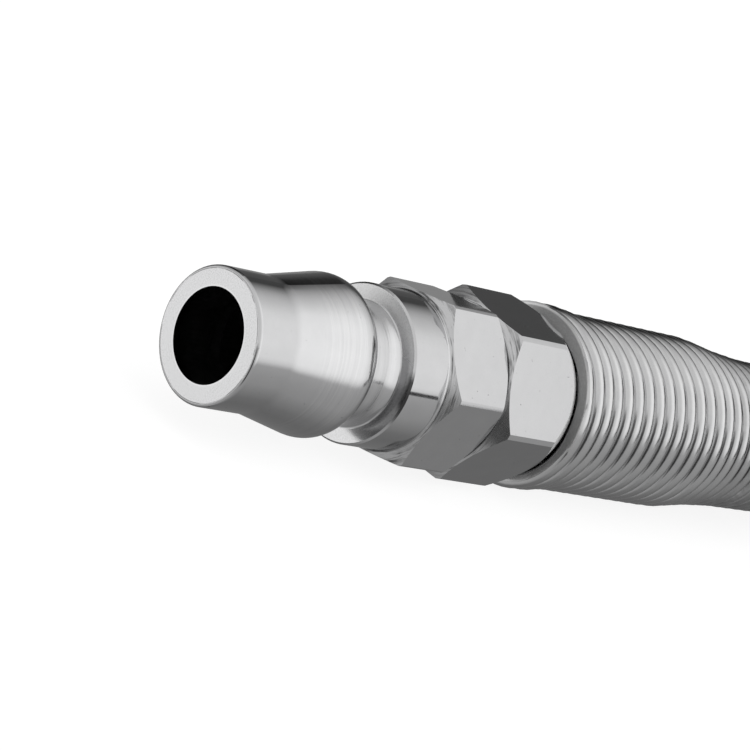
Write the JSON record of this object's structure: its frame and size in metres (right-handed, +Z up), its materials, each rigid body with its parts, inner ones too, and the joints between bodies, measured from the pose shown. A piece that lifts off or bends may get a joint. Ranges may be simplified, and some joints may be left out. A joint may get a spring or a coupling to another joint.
{
  "type": "spiral air hose",
  "caption": "Recoil air hose: a spiral plastic tube with a push-in coupler plug, clamping nut and wire spring guard at each end.",
  "frame": {"origin": "centre of the near plug's mouth, on the plug's axis", "axes": "+X out of the near plug's mouth along its axis, +Z up with the hose lying on a flat surface, +Y towards the spiral"},
  "size_m": [0.2764, 0.1238, 0.09],
  "materials": {
    "plated_body": "bright nickel plate with turning marks",
    "plated_nut": "bright nickel plate",
    "guard_wire": "bright plated spring wire",
    "tube": "smooth polyurethane"
  },
  "bodies": {
    "root": {"plug_body": "plated_body", "clamp_nut": "plated_nut", "spring_guard": "guard_wire", "hose_tail": "tube", "hose_coil": "tube", "far_hose_tail": "tube", "far_spring_guard": "guard_wire", "far_clamp_nut": "plated_nut", "far_plug_body": "plated_body"}
  },
  "joints": []
}
